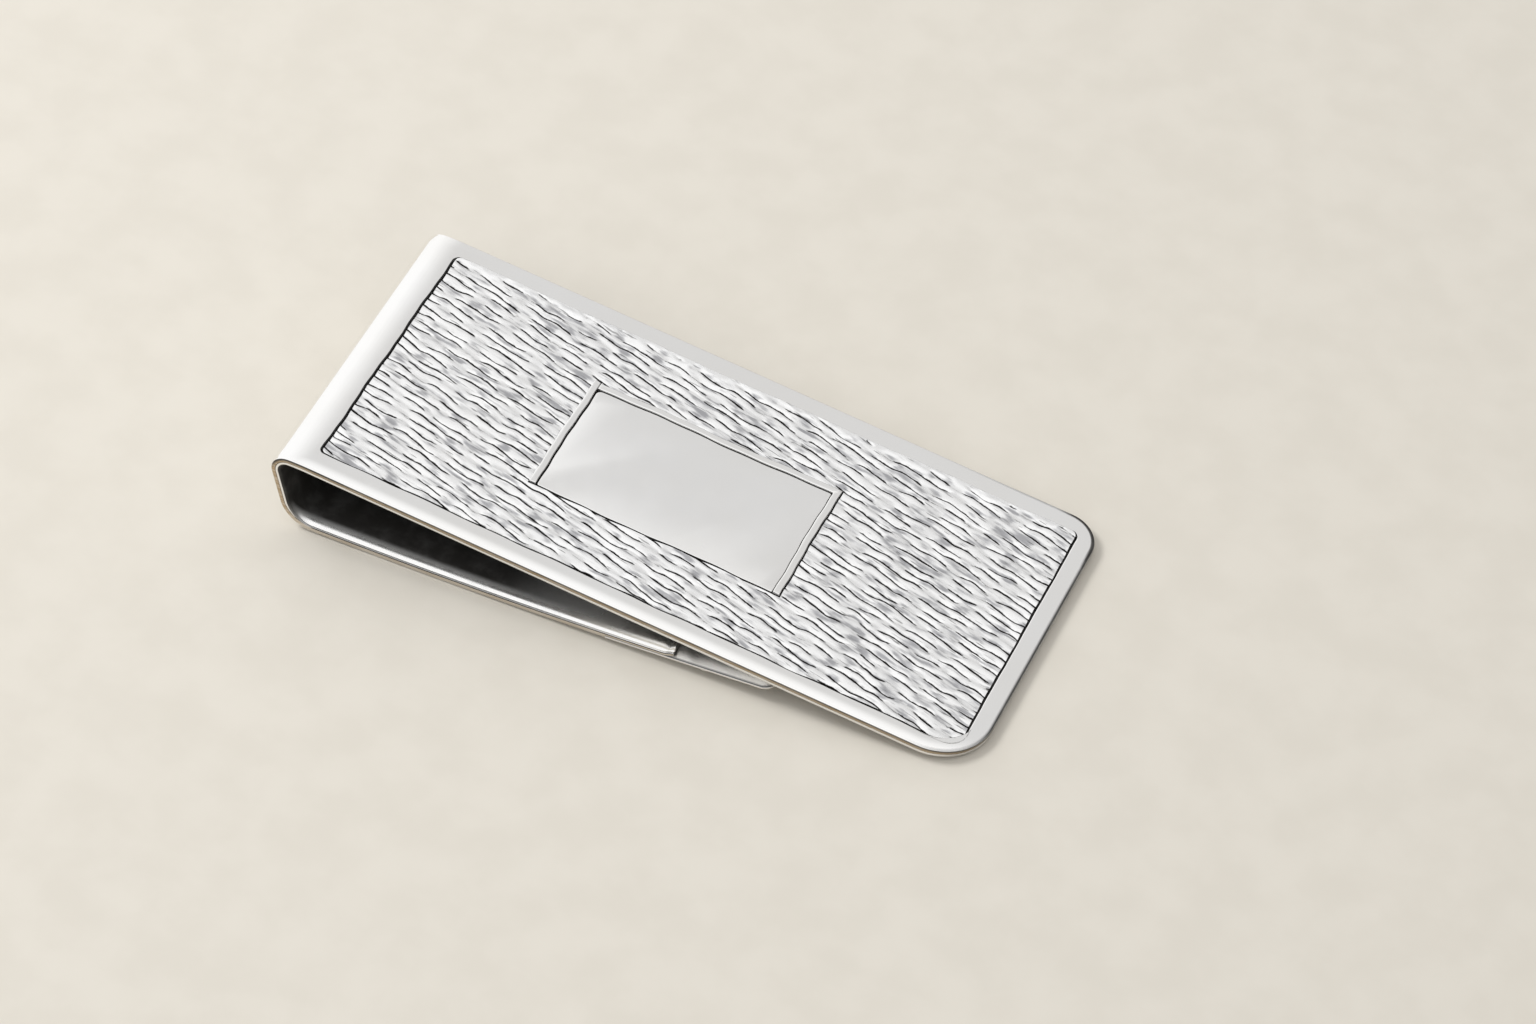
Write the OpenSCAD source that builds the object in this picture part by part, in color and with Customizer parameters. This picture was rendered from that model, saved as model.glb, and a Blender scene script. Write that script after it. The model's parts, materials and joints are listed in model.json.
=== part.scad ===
// Folded spring money clip with an engine-turned front and a plain name tablet.
// It is drawn in the front leaf's own frame: x runs from the bow's outermost line to the
// free end, y runs across the clip, and z = 0 is the polished front face. place() then
// tips it into the pose in which it lies still: on the bent rear leaf and on the free
// end's lower edge.

/* [Overall] */
// Length from the bow to the free end of the front leaf
clip_len = 51.2; // [46:0.2:56]
// Width across the leaves
clip_w = 23.8; // [21:0.2:26]
// Thickness of the folded strip, and of the front leaf with its cover
strip_t = 0.8; // [0.7:0.05:1]

/* [Front cover] */
// Thickness of the polished border and of what is let into it
cover_t = 0.3; // [0.2:0.05:0.4]
// Corner radius at the free end, on the near side
corner_near_r = 3.9; // [2:0.1:4.5]
// Corner radius at the free end, on the far side
corner_far_r = 2.4; // [2:0.1:4.5]
// Distance from the bow's outermost line to the panel
border_bow = 2.9; // [2.5:0.1:4]
// Width of the border at the free end
border_end = 1.5; // [1:0.1:2]
// Width of the border along each side
border_side = 1.45; // [1:0.05:2]
// Width of the cut line round the panel
seam = 0.14; // [0.08:0.02:0.2]
// Corner radius of the panel at the bow
panel_bow_r = 0.5; // [0.3:0.1:1.5]
// Corner radius of the panel at the free end, on the far side
panel_far_r = 0.6; // [0.3:0.1:1.5]
// Corner radius of the panel at the free end, on the near side
panel_near_r = 1.3; // [0.3:0.1:2]

/* [Engine-turned panel] */
// How far the panel lies below the border
panel_sink = 0.04; // [0.02:0.01:0.08]
// Distance from one row of cuts to the next
row_pitch = 0.95; // [0.8:0.05:1.4]
// Slant of the rows against the clip's length
row_slant = 13; // [0:1:20]
// Depth of the cuts
cut_depth = 0.1; // [0.05:0.01:0.12]

/* [Name tablet] */
// Where the tablet's middle stands along the clip
tablet_x = 25.1; // [24:0.1:27]
// Length over the two end rails
tablet_len = 18.6; // [14:0.2:20]
// Width over the far rail
tablet_w = 10.4; // [8:0.2:12]
// Width of a rail
rail_w = 0.5; // [0.4:0.05:0.7]
// How far the rails stand above the border
rail_rise = 0.12; // [0.06:0.02:0.2]
// How far the bow end's rail overruns the tablet's corner
rail_overrun = 0.2; // [0:0.05:0.4]

/* [Bow] */
// Outer radius of the tight bend at the front leaf
top_bend_r = 1.5; // [1.3:0.1:1.8]
// Outer radius of the wider bend at the heel
heel_r = 2.6; // [2.2:0.1:2.8]
// Depth of the bow below the front face
bow_depth = 6.2; // [6:0.1:6.8]
// Lean of the back wall, from square to the front leaf
wall_lean = 20; // [10:1:24]

/* [Arm] */
// Slope of the rear leaf towards the front leaf, where it leaves the heel
arm_rise = 5.2; // [4.8:0.1:5.6]
// How much more it slopes at its lip, as it is bent in a gentle arc
arm_turn = 4.9; // [4:0.1:5.5]
// Length of the rear leaf from the heel to its lip
rear_len = 26.7; // [24:0.1:28]
// Distance from the bow's outermost line to the tongue's tip
tongue_end = 37.2; // [36:0.1:38]
// Thickness of the tongue
tongue_t = 0.5; // [0.4:0.05:0.6]
// Length over which the rear leaf laps the tongue
lap_len = 5; // [4:0.5:7]
// Corner radius at the tongue's tip
tongue_corner_r = 1; // [0.6:0.1:3]
// Gap left between the tongue's tip and the front leaf
tip_gap = 0.08; // [0.05:0.01:0.2]
// Running gap between parts that fit into each other
fit_gap = 0.02; // [0.01:0.01:0.05]

/* [Rivets] */
// Diameter of a rivet's shank
rivet_d = 1.2; // [1:0.1:1.6]
// Diameter of a rivet's head
head_d = 2; // [1.8:0.1:2.4]
// Height of a rivet's head
head_h = 0.2; // [0.15:0.01:0.25]
// Distance between the two rivets, across the arm
rivet_spacing = 12; // [8:1:16]

/* [Hidden] */
$fn = 96;

silver = [0.80, 0.80, 0.81];
bright = [0.90, 0.90, 0.91];
dark = [0.62, 0.62, 0.64];
far = 2 * clip_len;         // longer than anything it cuts
half_w = clip_w / 2;
arc_steps = 16;

// The bow: the centres of its two bends. The wall between them leans by wall_lean.
top_bend = [top_bend_r, -top_bend_r];
heel_z = heel_r - bow_depth;
heel = [(heel_r * cos(wall_lean) + top_bend_r * (1 - cos(wall_lean))
         + ((heel_r - top_bend_r) * sin(wall_lean) - top_bend_r - heel_z) * tan(wall_lean)), heel_z];

// The arm: the arc of its outer face, the lip's place and the tongue's slope, which brings
// its tip up to the front leaf
arm_r = rear_len / (arm_turn * PI / 180);
arc_mid = heel + (arm_r - heel_r) * [-sin(arm_rise), cos(arm_rise)];
lip_rise = arm_rise + arm_turn;
lip = arc_mid + arm_r * [sin(lip_rise), -cos(lip_rise)];
tongue_rise = atan2(-strip_t - tip_gap - tongue_t - lip.y, tongue_end - lip.x);
tongue_len = (tongue_end - lip.x) / cos(tongue_rise);
lap_t = strip_t - tongue_t;
lap_start = rear_len - lap_len;

// The resting pose: the tilt at which the arm's arc and the free end touch one level
reach = clip_len - arc_mid.x;
drop = arc_mid.y + strip_t;
tilt = atan2(reach, drop) - acos(arm_r / norm([reach, drop]));
rest_z = clip_len * sin(tilt) + strip_t * cos(tilt);
// The box along x runs from the top bend to the front face's end
first_x = top_bend_r * (cos(tilt) - sin(tilt) - 1);
last_x = clip_len * cos(tilt);

// The panel and the tablet
panel_x0 = border_bow;
panel_x1 = clip_len - border_end;
panel_half = half_w - border_side;
base_z = -cover_t;
tab_x0 = tablet_x - tablet_len / 2;
tab_x1 = tablet_x + tablet_len / 2;
tab_half = tablet_w / 2;

// Tips the finished clip into its resting pose, with the middle of its footprint at 0
module place() {
    translate([-(first_x + last_x) / 2, 0, rest_z]) rotate([0, tilt, 0]) children();
}

// The arm's frame: the heel's centre is the origin and x runs as the rear leaf starts
module on_arm() {
    translate([heel.x, 0, heel.y]) rotate([0, -arm_rise, 0]) children();
}

// Turning of the rear leaf after a run u along it
function arm_angle(u) = arm_turn * u / rear_len;

// Point of the rear leaf after a run u, at a depth below its outer face
function arm_point(u, depth) = [(arm_r - depth) * sin(arm_angle(u)),
                                arm_r - heel_r - (arm_r - depth) * cos(arm_angle(u))];

// Points along the rear leaf at one depth, from one run to another
function arm_line(u0, u1, depth) =
    [for (i = [0 : arc_steps]) arm_point(u0 + (u1 - u0) * i / arc_steps, depth)];

// Moves to the rear leaf's outer face after a run u, square to it
module at_run(u) {
    spot = arm_point(u, 0);
    translate([spot.x, 0, spot.y]) rotate([0, -arm_angle(u), 0]) children();
}

// Draws a side profile, in x and z, across the whole width
module across(width) {
    translate([0, width / 2, 0]) rotate([90, 0, 0]) linear_extrude(width) children();
}

// A rectangle from corner to corner
module box2(x0, y0, x1, y1) {
    translate([x0, y0]) square([x1 - x0, y1 - y0]);
}

// A rectangle that reaches from a little past the middle out to one side, -1 or 1
module half_box(side, x0, x1, reach) {
    box2(x0, min(side * reach, -side), x1, max(side * reach, -side));
}

// A rectangle with round corners: start_r at x0 where it isn't 0, near_r and far_r at x1
module round_end(x0, x1, half, start_r, near_r, far_r) {
    for (side = [-1, 1]) {
        end_r = side < 0 ? near_r : far_r;
        half_box(side, x0, x1 - end_r, half - start_r);
        half_box(side, x0 + start_r, x1 - end_r, half);
        half_box(side, x0 + start_r, x1, half - end_r);
        translate([x1 - end_r, side * (half - end_r)]) circle(end_r);
        if (start_r > 0) translate([x0 + start_r, side * (half - start_r)]) circle(start_r);
    }
}

// Outline of the front leaf and its cover
module leaf_outline() {
    round_end(top_bend_r, clip_len, half_w, 0, corner_near_r, corner_far_r);
}

// Outline of the panel, or of its window when it is grown by the seam
module panel_outline(grow) {
    round_end(panel_x0 - grow, panel_x1 + grow, panel_half + grow,
        panel_bow_r + grow, panel_near_r + grow, panel_far_r + grow);
}

// Outline of the tablet with its rails
module tablet_outline(grow) {
    box2(tab_x0 - grow, -tab_half - grow, tab_x1 + grow, tab_half + grow);
    box2(tab_x0 - grow, -tab_half - grow, tab_x0 + rail_w + grow, tab_half + rail_overrun + grow);
}

// Side profile of the bow's outside, or of its hollow when it is shrunk by the strip
module bow_side(shrink) {
    wall_side = [-cos(wall_lean), -sin(wall_lean)];
    translate(top_bend) circle(top_bend_r - shrink);
    translate(heel) circle(heel_r - shrink);
    polygon([top_bend, top_bend + (top_bend_r - shrink) * wall_side,
             heel + (heel_r - shrink) * wall_side, heel]);
}

// Base of the front leaf, under the cover
module front_leaf() {
    color(dark) place() translate([0, 0, -strip_t])
        linear_extrude(strip_t - cover_t) leaf_outline();
}

// Polished border, with the window for the panel
module front_border() {
    color(bright) place() translate([0, 0, base_z]) linear_extrude(cover_t) difference() {
        leaf_outline();
        panel_outline(seam);
    }
}

// Panel with its slanting rows of shallow cuts
module engine_turned_panel() {
    top = cover_t - panel_sink;
    cut_r = 0.4;
    rows = ceil((clip_len * sin(row_slant) + clip_w) / row_pitch / 2);
    color(silver) place() translate([0, 0, base_z]) difference() {
        linear_extrude(top) difference() {
            panel_outline(0);
            tablet_outline(seam / 2);
        }
        for (i = [-rows : rows])
            translate([clip_len / 2, 0, top + cut_r - cut_depth]) rotate([0, 0, -row_slant])
                translate([0, i * row_pitch, 0]) rotate([0, 90, 0])
                    cylinder(r = cut_r, h = far, center = true);
    }
}

// Plain plate that takes the engraving
module name_tablet() {
    color(bright) place() translate([0, 0, base_z]) linear_extrude(cover_t)
        box2(tab_x0 + rail_w, -tab_half, tab_x1 - rail_w, tab_half - rail_w);
}

// A raised rail, from corner to corner
module rail(x0, y0, x1, y1) {
    color(bright) place() translate([0, 0, base_z]) linear_extrude(cover_t + rail_rise)
        box2(x0, y0, x1, y1);
}

// Rail at the bow end
module bow_end_rail() {
    rail(tab_x0, -tab_half, tab_x0 + rail_w, tab_half + rail_overrun);
}

// Rail at the free end
module free_end_rail() {
    rail(tab_x1 - rail_w, -tab_half, tab_x1, tab_half);
}

// Rail along the far side, between the other two
module far_side_rail() {
    rail(tab_x0 + rail_w, tab_half - rail_w, tab_x1 - rail_w, tab_half);
}

// The bow: the tight bend, the leaning wall and the heel
module spring_bow() {
    color(silver) place() across(clip_w) {
        intersection() {
            difference() {
                bow_side(0);
                bow_side(strip_t);
            }
            polygon([top_bend, [top_bend.x, far], [-far, far], [-far, -far],
                     heel + 2 * far * [sin(arm_rise), -cos(arm_rise)], heel]);
        }
    }
}

// Holes through the lap, or the shanks that fill them
module rivet_bars(r, low, high) {
    at_run(rear_len - lap_len / 2)
        for (s = [-1, 1]) translate([0, s * rivet_spacing / 2, low]) cylinder(r = r, h = high - low);
}

// Rear leaf, which thins to a lip over the tongue
module rear_leaf() {
    color(silver) place() on_arm() difference() {
        across(clip_w) polygon(concat(
            arm_line(0, lap_start, 0), arm_line(lap_start, rear_len, tongue_t),
            arm_line(rear_len, 0, strip_t)));
        rivet_bars(rivet_d / 2 + fit_gap, -1, strip_t + 1);
    }
}

// Tongue, lapped under the rear leaf and rising to the front leaf
module spring_tongue() {
    nose = tongue_t / 2;
    slope = tongue_rise - arm_rise;
    ahead = [cos(slope), sin(slope)];
    inwards = [-sin(slope), cos(slope)];
    start = arm_point(rear_len, 0);
    nose_foot = start + (tongue_len - nose) * ahead;
    color(bright) place() on_arm() difference() {
        intersection() {
            across(clip_w) {
                polygon(concat(arm_line(lap_start, rear_len, 0),
                    [nose_foot, nose_foot + tongue_t * inwards],
                    arm_line(rear_len, lap_start, tongue_t)));
                translate(nose_foot + nose * inwards) circle(nose);
            }
            translate([0, 0, -heel_r - 1]) linear_extrude(heel_r + 3)
                round_end(lap_start - 1, start.x + tongue_len * cos(slope), half_w, 0,
                    tongue_corner_r, tongue_corner_r);
        }
        rivet_bars(rivet_d / 2 + fit_gap, -1, strip_t + 1);
    }
}

// Two rivets through the lap: flush inside, low domed heads outside
module tongue_rivets() {
    dome_r = (head_d * head_d / 4 + head_h * head_h) / (2 * head_h);
    color(dark) place() on_arm() {
        rivet_bars(rivet_d / 2, 0, strip_t);
        at_run(rear_len - lap_len / 2) for (s = [-1, 1])
            translate([0, s * rivet_spacing / 2, 0]) intersection() {
                translate([0, 0, dome_r - head_h]) sphere(dome_r);
                translate([0, 0, -head_h]) cylinder(d = head_d + 1, h = head_h);
            }
    }
}

front_leaf();
front_border();
engine_turned_panel();
name_tablet();
bow_end_rail();
free_end_rail();
far_side_rail();
spring_bow();
rear_leaf();
spring_tongue();
tongue_rivets();
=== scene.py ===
"""A polished silver money clip: looks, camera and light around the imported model.

The clip is built in the front leaf's own frame, in millimetres: x from the bow's outermost
line to the free end, y across to the far side, z up from the polished face. at_leaf() takes
such points to the row frame, in metres.
"""

import json
import math

import bmesh
import bpy
import numpy as np
from mathutils import Matrix, Vector


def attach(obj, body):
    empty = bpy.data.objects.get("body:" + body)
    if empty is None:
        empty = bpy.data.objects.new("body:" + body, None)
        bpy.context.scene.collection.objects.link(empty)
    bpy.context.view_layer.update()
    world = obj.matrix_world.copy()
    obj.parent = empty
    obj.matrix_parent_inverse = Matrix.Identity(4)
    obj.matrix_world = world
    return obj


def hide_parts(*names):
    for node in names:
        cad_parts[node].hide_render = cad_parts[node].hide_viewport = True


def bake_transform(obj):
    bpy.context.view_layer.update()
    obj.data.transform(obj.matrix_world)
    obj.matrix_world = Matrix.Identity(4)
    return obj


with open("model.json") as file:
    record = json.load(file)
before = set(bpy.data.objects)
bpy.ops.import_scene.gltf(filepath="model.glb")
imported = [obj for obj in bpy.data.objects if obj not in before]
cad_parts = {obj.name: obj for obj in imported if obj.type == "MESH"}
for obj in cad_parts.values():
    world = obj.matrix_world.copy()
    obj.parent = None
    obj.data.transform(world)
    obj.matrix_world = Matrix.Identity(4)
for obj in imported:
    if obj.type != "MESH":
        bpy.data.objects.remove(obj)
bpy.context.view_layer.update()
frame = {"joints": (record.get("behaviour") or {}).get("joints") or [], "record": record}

# ---------------------------------------------------------------- driving sizes, in mm
LENGTH, WIDTH = 51.2, 23.8
STRIP_T, COVER_T = 0.8, 0.3
HALF = WIDTH / 2
NEAR_CORNER_R, FAR_CORNER_R = 3.9, 2.4
TOP_BEND_R, HEEL_R = 1.5, 2.6
WALL_LEAN = math.radians(20)
ARM_RISE, ARM_TURN = math.radians(5.2), math.radians(4.9)
REAR_LEN, LAP_LEN = 26.7, 5.0
TONGUE_T, TONGUE_END, TONGUE_CORNER_R, TIP_GAP = 0.5, 37.2, 1.0, 0.08
PANEL_X0, PANEL_X1, PANEL_HALF = 2.9, 49.7, 10.45
TABLET_X, TABLET_LEN, TABLET_W = 25.1, 18.6, 10.4
RAIL_W, RAIL_RISE, RAIL_OVERRUN = 0.5, 0.12, 0.2
SLANT = math.radians(11)             # of the rows of cuts on the panel
RIVET_SPACING, HEAD_R, HEAD_H = 12.0, 1.0, 0.2
MM = 0.001

# ---------------------------------------------------------------- the leaf frame in the row
tablet_mount = next(m for m in frame["record"]["mounts"] if m["name"] == "tablet_face")
LEAF_UP = Vector(tablet_mount["axis"]).normalized()
LEAF_X = Vector((LEAF_UP.z, 0, -LEAF_UP.x))
LEAF_ORIGIN = Vector(tablet_mount["pos_m"]) - LEAF_X * TABLET_X * MM
hinge = Vector(frame["joints"][0]["pos_m"]) - LEAF_ORIGIN
HEEL = np.array([hinge.dot(LEAF_X), hinge.dot(LEAF_UP)]) / MM


def at_leaf(points):
    """Points of the leaf frame, in mm, as row-frame points in metres."""
    p = np.asarray(points, float) * MM
    across = np.array([0.0, 1.0, 0.0])
    return (np.array(LEAF_ORIGIN) + p[:, :1] * np.array(LEAF_X)
            + p[:, 1:2] * across + p[:, 2:] * np.array(LEAF_UP))


def turned(angle):
    """Unit vector in the leaf's x, z plane at that angle."""
    return np.array([math.cos(angle), math.sin(angle)])


# The rear leaf is an arc: ARC_MID is its centre and ARM_R the radius of its outer face
ARM_R = REAR_LEN / ARM_TURN
ARC_MID = HEEL + (ARM_R - HEEL_R) * turned(ARM_RISE + math.pi / 2)


def arm_point(u, depth):
    """Point of the rear leaf after a run u from the heel, at a depth below its outer face."""
    return ARC_MID + (ARM_R - depth) * turned(ARM_RISE + u / ARM_R - math.pi / 2)


LIP = arm_point(REAR_LEN, 0.0)
TONGUE_RISE = math.atan2(-STRIP_T - TIP_GAP - TONGUE_T - LIP[1], TONGUE_END - LIP[0])
TONGUE_LEN = (TONGUE_END - LIP[0]) / math.cos(TONGUE_RISE)


def smooth(t):
    """0 below 0, 1 above 1, with a soft step between."""
    t = np.clip(t, 0.0, 1.0)
    return t * t * (3 - 2 * t)


def rise(value, start, end):
    """0 at start, 1 at end and level outside them, with a soft step. end may be the lower."""
    return smooth((value - start) / (end - start))


# ---------------------------------------------------------------- mesh building
class Shape:
    """A mesh in the leaf frame: points with a painted-shade value and a painted tan-reflection value,
    and faces.
    """

    def __init__(self):
        self.points, self.tarnish, self.patina, self.faces = [], [], [], []

    def ring(self, points, tarnish=0.0, patina=0.0):
        """Adds points and returns their indices. The values are one for all or one each."""
        first = len(self.points)
        self.points += [tuple(p) for p in points]
        self.tarnish += list(np.broadcast_to(tarnish, len(points)))
        self.patina += list(np.broadcast_to(patina, len(points)))
        return list(range(first, len(self.points)))

    def skin(self, rings, closed=False):
        """Quads between each ring and the next, all with the same number of points."""
        n = len(rings[0])
        for a, b in zip(rings, rings[1:]):
            for i in range(n if closed else n - 1):
                j = (i + 1) % n
                self.faces.append((a[i], a[j], b[j], b[i]))

    def across(self, ring, pairs=None):
        """Closes a ring that is its own mirror image, with one face across each pair."""
        n = len(ring)
        for i in range(n // 2 - 1 if pairs is None else pairs):
            self.faces.append((ring[i], ring[i + 1], ring[n - 2 - i], ring[n - 1 - i]))

    def cap(self, ring):
        """One face over a flat ring."""
        self.faces.append(tuple(ring))

    def open_end(self, rings):
        """One face over the plane where open rings start and end."""
        self.cap([r[0] for r in rings] + [r[-1] for r in reversed(rings)])

    def tube(self, rings):
        """Closed rings joined in turn, with a face over the first and the last."""
        self.skin(rings, closed=True)
        self.cap(rings[0])
        self.cap(rings[-1])


def add_piece(name, shape, material, fills=()):
    """Makes the object. fills are pairs of rings with a flat face between the two."""
    bm = bmesh.new()
    points = at_leaf(shape.points)
    verts = [bm.verts.new(p) for p in points]
    for f in shape.faces:
        bm.faces.new([verts[i] for i in f])
    for outer, inner in fills:
        edges = []
        for loop in (outer, inner):
            for i, a in enumerate(loop):
                ends = (verts[a], verts[loop[(i + 1) % len(loop)]])
                edges.append(bm.edges.get(ends) or bm.edges.new(ends))
        bmesh.ops.triangle_fill(bm, edges=edges, use_beauty=True)
    bmesh.ops.recalc_face_normals(bm, faces=bm.faces)
    mesh = bpy.data.meshes.new(name)
    bm.to_mesh(mesh)
    bm.free()
    for layer_name, values in (("tarnish", shape.tarnish), ("patina", shape.patina)):
        layer = mesh.attributes.new(layer_name, "FLOAT", "POINT")
        layer.data.foreach_set("value", np.array(values, np.float32))
    return finish_piece(name, mesh, material)


def finish_piece(name, mesh, material, sharp=38):
    """Links a mesh as a smooth piece with sharp creases past an angle in degrees."""
    mesh.polygons.foreach_set("use_smooth", np.ones(len(mesh.polygons), bool))
    mesh.set_sharp_from_angle(angle=math.radians(sharp))
    mesh.materials.append(material)
    piece = bpy.data.objects.new(name, mesh)
    bpy.context.scene.collection.objects.link(piece)
    return piece


def round_corner(centre, radius, start, end, steps):
    """Points on an arc, both ends included, angles in degrees."""
    angles = np.radians(np.linspace(start, end, steps + 1))
    return np.array(centre) + radius * np.stack([np.cos(angles), np.sin(angles)], 1)


RIM_SEAM = COVER_T + 0.14    # depth of the seam at the rim, where the crowned cover comes down
BROW_LINE = (0.4, 1.0, 1.0, 0.7)              # thin line of painted shade between the face and the side's tan
RIM_LINE = (0.1, 0.7, 1.0, 1.0, 1.0, 1.0, 0.6)    # painted dark reflection over the rim's rounding, by ring


class Edge:
    """How the strip's long edges are worked, as (inset, depth) points below the outer face.

    They run from the outer face's flat, over its crown and its rounded edge, down the side
    past the seam between cover and base, and round to the inner face's flat. Every Edge has
    the same number of points, so one can turn into another along the bow. A crown is how far
    a face comes down at its edge, over its width; groove is the depth of the seam.
    """

    def __init__(self, thick, crown, crown_w, outer_r, inner_crown, inner_w, inner_r, groove):
        def sag(inset, drop, width):
            return drop * np.clip(1 - inset / width, 0, 1) ** 2

        flat_out = np.linspace(crown_w + 0.05, outer_r, 14)
        outer = [(i, sag(i, crown, crown_w)) for i in flat_out]
        top = sag(outer_r, crown, crown_w)
        corner = [(outer_r * (1 - math.sin(a)), top + outer_r * (1 - math.cos(a)))
                  for a in np.linspace(0.16, math.pi / 2, 8)]
        lips = [(groove * (k == 2), RIM_SEAM + 0.025 * (k - 2)) for k in range(5)]
        low = thick - sag(inner_r, inner_crown, inner_w)
        under = [(inner_r * (1 - math.cos(a)), low - inner_r * (1 - math.sin(a)))
                 for a in np.linspace(0, math.pi / 2 - 0.16, 7)]
        inner = [(i, thick - sag(i, inner_crown, inner_w))
                 for i in np.linspace(inner_r, inner_w + 0.15, 14)]
        inner += [(inner_w + 0.7, thick), (inner_w + 1.4, thick), (inner_w + 2.6, thick)]
        self.points = np.array(outer + corner + lips + under + inner)
        self.seam = len(outer) + len(corner) + 2
        self.side_from = len(outer) + len(corner) - 2
        self.rim = {len(outer) - 3 + k: dark for k, dark in enumerate(RIM_LINE)}
        self.brow = {self.side_from - 2 + k: dark for k, dark in enumerate(BROW_LINE)}
        self.inner_from = len(self.points) - len(inner)
        self.under_from = self.inner_from - len(under)

    def mixed(self, other, share):
        """This edge's points, turned into the other's by share."""
        return self.points * (1 - share) + other.points * share

    def inner_dark(self, start, under):
        """Painted shade of the inner face from that inset on, and of the rounding next to it."""
        dark = rise(self.points[:, 0], start, start + 0.7)
        dark[:self.inner_from] = under
        dark[:self.under_from + 1] = 0.0
        return dark

    def side_patina(self, above, below):
        """Painted tan reflection on the strip's side: one value above its seam and one below."""
        patina = np.zeros(len(self.points))
        patina[self.side_from:self.seam + 1] = above
        patina[self.seam + 1:self.inner_from - 3] = below
        return patina


FRONT_EDGE = Edge(STRIP_T, crown=0.12, crown_w=1.0, outer_r=0.09,
                  inner_crown=0.03, inner_w=0.5, inner_r=0.2, groove=0.06)
REAR_EDGE = Edge(STRIP_T, crown=0.05, crown_w=0.8, outer_r=0.12,
                 inner_crown=0.36, inner_w=1.2, inner_r=0.08, groove=0.0)
# Painted shade of the inner faces, black inside the fold: the inset that it starts from, and how dark
# the rounding is
FRONT_INNER_SHADE, REAR_INNER_SHADE = (-0.6, 1.0), (0.3, 0.35)


def section(edge_points):
    """A whole cross-section of the strip as (y, depth), near outer flat round to far."""
    near = [(-HALF + i, d) for i, d in edge_points]
    far = [(-y, d) for y, d in reversed(near)]
    return near + far


END_STEPS, ARC_STEPS = 12, 14         # points along half of a straight end, and round a corner


def plan_path(lead, x0, x1, inset, radii, side_steps=40):
    """The strip's outline from lead and x0 along its near side, round x1 and back, drawn in.

    radii are those of the near and the far corner.
    """
    sides = []
    for radius in radii:
        corner = max(radius, inset + 0.02)
        along = [*lead, *np.linspace(x0, x1 - corner, side_steps)[:-1]]
        side = [(x, inset - HALF) for x in along]
        arc = round_corner((x1 - corner, corner - HALF), corner - inset, -90, 0, ARC_STEPS)
        side += [tuple(p) for p in arc]
        side += [(x1 - inset, y) for y in np.linspace(corner - HALF, 0, END_STEPS)[1:-1]]
        sides.append(side)
    near, far = sides
    return near + [(x, -y) for x, y in reversed(far)]


def round_rect(x0, x1, y0, y1, radii, steps=8):
    """Closed outline of a rectangle. radii run from the corner x1, y0 round by x1, y1."""
    a, b, c, d = radii
    corners = [((x1 - a, y0 + a), a, -90), ((x1 - b, y1 - b), b, 0),
               ((x0 + c, y1 - c), c, 90), ((x0 + d, y0 + d), d, 180)]
    return np.concatenate([round_corner(m, r, t, t + 90, steps) for m, r, t in corners])


def dense(outline, like, step=0.5):
    """A closed outline with points added on its sides, as many as like's sides need at step."""
    out = []
    for a, b, c, d in zip(outline, np.roll(outline, -1, 0), like, np.roll(like, -1, 0)):
        n = max(1, math.ceil(np.hypot(*(d - c)) / step))
        out += [a + (b - a) * i / n for i in range(n)]
    return np.array(out)


NEAR_SHIFT, NEAR_TAPER = 0.33, 0.0113     # the near band is this much wider at the bow, less a mm


def swayed(points):
    """Moves front-face points by the slight waver of hand work, none at the leaf's outline.

    The window's near side also stands further in at the bow than at the free end.
    """
    p = np.array(points, float)
    x, y = p[:, 0], p[:, 1]
    free = rise(np.abs(y), HALF - 0.95, HALF - 1.75) * rise(x, 2.0, 2.8)
    free = free * rise(x, LENGTH - 1.1, LENGTH - 1.7)
    p[:, 0] = x + free * (0.035 * np.sin(0.83 * y + 0.31 * x) + 0.018 * np.sin(2.9 * y + 0.7 * x))
    p[:, 1] = y + free * (0.05 * np.sin(0.57 * x + 0.4 * y) + 0.022 * np.sin(1.9 * x + 1.1 * y + 1))
    near = rise(y, -7.5, -10.0) * rise(np.abs(y), HALF - 1.05, HALF - 1.17)
    p[:, 1] += near * (NEAR_SHIFT - NEAR_TAPER * (x - 3) + 0.025 * np.sin(1.3 * x))
    return p


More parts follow.
